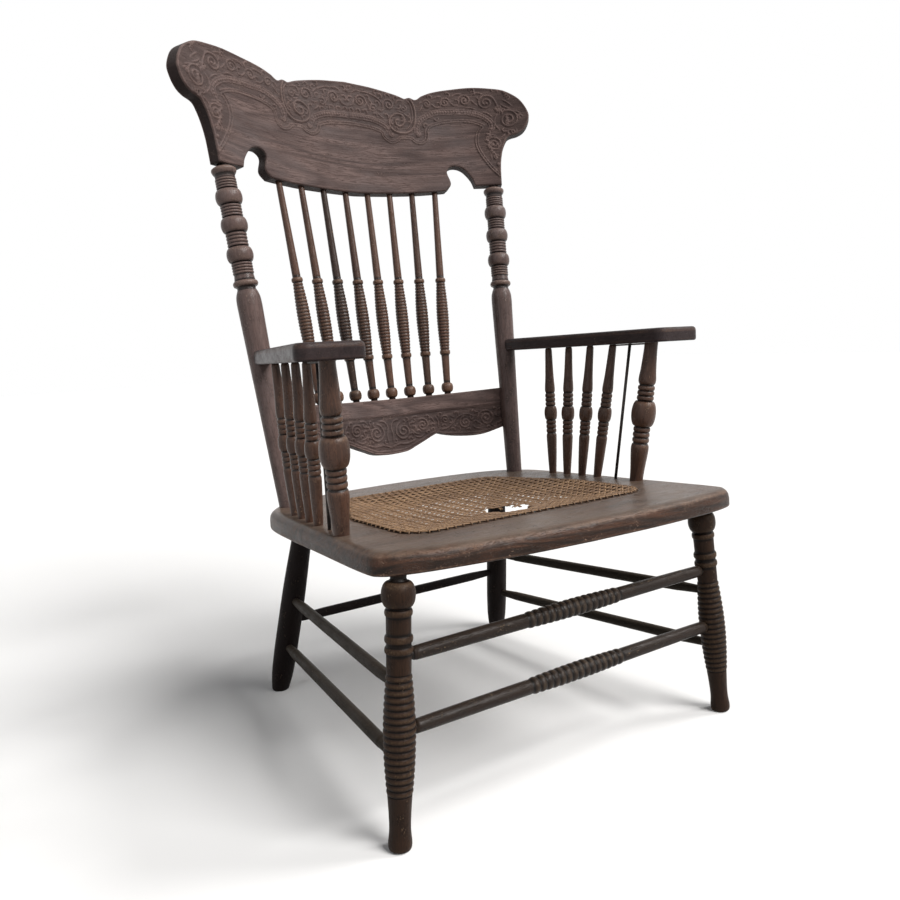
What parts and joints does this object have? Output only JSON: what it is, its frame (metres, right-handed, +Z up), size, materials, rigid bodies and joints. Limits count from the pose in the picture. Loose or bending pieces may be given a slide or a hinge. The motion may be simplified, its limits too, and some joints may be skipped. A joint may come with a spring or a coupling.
{
  "type": "pressed back spindle armchair",
  "caption": "Old wooden armchair with a carved, bent crest rail, turned spindles under the back and arms, and a hand-caned seat that has torn through.",
  "frame": {"origin": "centre of the chair's outline, on the floor it stands on", "axes": "+Z up; the chair faces -Y; +X to the right of someone who stands in front and looks at it"},
  "size_m": [0.6852, 0.6624, 1.0714],
  "materials": {
    "grey_oak": "worn dark stain over oak, grey-brown",
    "seat_oak": "worn grey-brown oak, varnish gone from the top",
    "brown_oak": "worn red-brown varnish",
    "dark_oak": "dark brown varnish, worn on the ribs",
    "black_oak": "blackened old varnish",
    "rung_oak": "bare grey-brown oak",
    "cane": "aged, dull, split cane",
    "iron": "dark, dull iron"
  },
  "bodies": {
    "root": {"seat_frame": "seat_oak", "cane_panel": "cane", "crest_rail": "grey_oak", "lower_back_rail": "grey_oak", "back_spindle_1": "brown_oak", "back_spindle_2": "brown_oak", "back_spindle_3": "brown_oak", "back_spindle_4": "brown_oak", "back_spindle_5": "brown_oak", "back_spindle_6": "brown_oak", "back_spindle_7": "brown_oak", "back_spindle_8": "brown_oak", "back_post_left": "brown_oak", "arm_left": "grey_oak", "arm_post_left": "brown_oak", "arm_spindle_left_1": "brown_oak", "arm_spindle_left_2": "brown_oak", "arm_spindle_left_3": "brown_oak", "arm_spindle_left_4": "brown_oak", "arm_rod_left": "iron", "rod_plate_left": "iron", "front_leg_left": "dark_oak", "back_leg_left": "black_oak", "side_stretcher_left_upper": "rung_oak", "side_stretcher_left_lower": "rung_oak", "back_post_right": "brown_oak", "arm_right": "grey_oak", "arm_post_right": "brown_oak", "arm_spindle_right_1": "brown_oak", "arm_spindle_right_2": "brown_oak", "arm_spindle_right_3": "brown_oak", "arm_spindle_right_4": "brown_oak", "arm_rod_right": "iron", "rod_plate_right": "iron", "front_leg_right": "dark_oak", "back_leg_right": "black_oak", "side_stretcher_right_upper": "rung_oak", "side_stretcher_right_lower": "rung_oak", "front_stretcher_upper": "dark_oak", "front_stretcher_lower": "dark_oak", "back_stretcher": "black_oak"}
  },
  "joints": []
}
